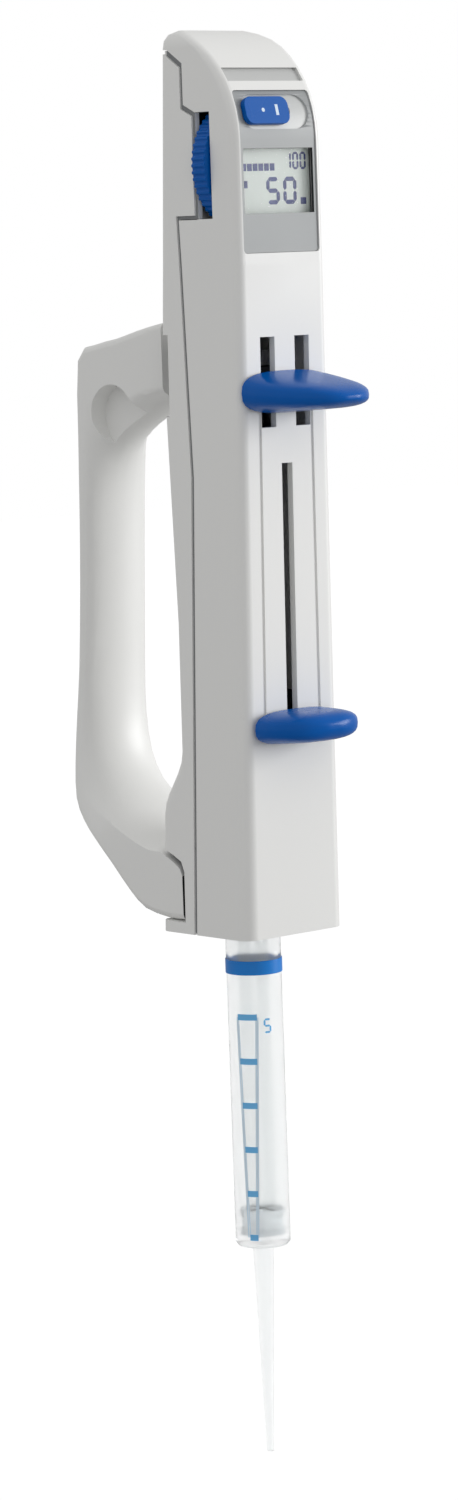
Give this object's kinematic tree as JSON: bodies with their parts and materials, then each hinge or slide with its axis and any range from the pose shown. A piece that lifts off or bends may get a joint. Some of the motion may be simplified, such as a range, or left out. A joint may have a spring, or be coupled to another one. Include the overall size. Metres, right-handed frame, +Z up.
{
  "type": "repeating pipette",
  "caption": "Hand-held repeating pipette with display head, setting dial, filling and dispensing levers, rear bow handle and a fitted dispenser tip.",
  "frame": {"origin": "centre of the nozzle's orifice, at the lowest point of the fitted tip", "axes": "+Z up along the piston axis, -Y towards the levers and the display, +X to the right as seen from the front"},
  "size_m": [0.0318, 0.0933, 0.3455],
  "materials": {
    "shell_white": "fine-grained moulded ABS, light grey-white",
    "lever_blue": "smooth moulded plastic, signal blue",
    "bezel_grey": "satin grey moulded plastic",
    "window_clear": "clear polished acrylic",
    "lcd_grey": "reflective liquid-crystal glass",
    "board_green": "epoxy glass board with solder mask",
    "dark_plastic": "glass-filled black nylon",
    "steel": "stainless steel, ground",
    "tip_clear": "translucent polypropylene",
    "seal_white": "soft polyethylene seal"
  },
  "bodies": {
    "housing": {"front_shell": "shell_white", "rear_shell": "shell_white", "display_bezel": "bezel_grey", "display_window": "window_clear", "lcd_module": "lcd_grey", "circuit_board": "board_green", "power_switch": "dark_plastic", "dial_axle": "steel", "dial_bracket": "dark_plastic", "detent_spring": "steel", "upper_bridge": "dark_plastic", "lower_bridge": "dark_plastic", "guide_rods": "steel", "tip_socket": "dark_plastic", "jaw_pins": "steel", "tip_barrel": "tip_clear", "colour_ring": "lever_blue", "handle": "shell_white", "handle_screws": "steel", "housing_screws": "steel", "battery_tray": "dark_plastic", "coin_cell": "steel", "battery_cover": "shell_white"},
    "power_slide": {"power_knob": "lever_blue"},
    "dial": {"dial_wheel": "lever_blue"},
    "step_stop": {"stop_cage": "steel", "lever_springs": "steel"},
    "dispenser": {"dispensing_lever": "lever_blue", "lever_yoke": "dark_plastic", "pawl_pin": "steel"},
    "pawl_arm": {"pawl": "steel"},
    "filler": {"filling_lever": "lever_blue", "fill_carriage": "dark_plastic", "toothed_rack": "steel", "piston_clamp": "steel", "tip_plunger": "tip_clear", "tip_seal": "seal_white"},
    "left_jaw": {"clamp_jaw_left": "steel"},
    "right_jaw": {"clamp_jaw_right": "steel"}
  },
  "joints": [
    {"name": "power_slide", "type": "slide", "parent": "housing", "child": "power_slide", "axis": [1, 0, 0], "range_m": [0, 0.0066]},
    {"name": "dial_turn", "type": "hinge", "parent": "housing", "child": "dial", "pos_m": [0, -0.0074, 0.3135], "axis": [0, 1, 0], "range_deg": [0, 342]},
    {"name": "stop_rise", "type": "slide", "parent": "housing", "child": "step_stop", "axis": [0, 0, 1], "range_m": [0, 0.008]},
    {"name": "lever_press", "type": "slide", "parent": "step_stop", "child": "dispenser", "axis": [0, 0, 1], "range_m": [-0.0038, 0], "stiffness_N_per_m": 250, "springref_m": 0.004, "deforming": ["lever_springs"]},
    {"name": "pawl_swing", "type": "hinge", "parent": "dispenser", "child": "pawl_arm", "pos_m": [0, -0.0042, 0.263], "axis": [1, 0, 0], "range_deg": [0, 4], "stiffness_Nm_per_rad": 0.002, "springref_deg": -17.19},
    {"name": "fill_slide", "type": "slide", "parent": "housing", "child": "filler", "axis": [0, 0, 1], "range_m": [0, 0.05408]},
    {"name": "right_jaw_swing", "type": "hinge", "parent": "housing", "child": "right_jaw", "pos_m": [0.0112, 0, 0.146], "axis": [0, 1, 0], "range_deg": [-7, 0], "stiffness_Nm_per_rad": 0.02, "springref_deg": 17.19},
    {"name": "left_jaw_swing", "type": "hinge", "parent": "housing", "child": "left_jaw", "pos_m": [-0.0112, 0, 0.146], "axis": [0, 1, 0], "range_deg": [0, 7], "stiffness_Nm_per_rad": 0.02, "springref_deg": -17.19}
  ],
  "couplings": [
    {"joint": "dial_turn", "follows": "stop_rise", "rad_per_m": 746.12},
    {"joint": "left_jaw_swing", "follows": "right_jaw_swing", "ratio": -1}
  ]
}
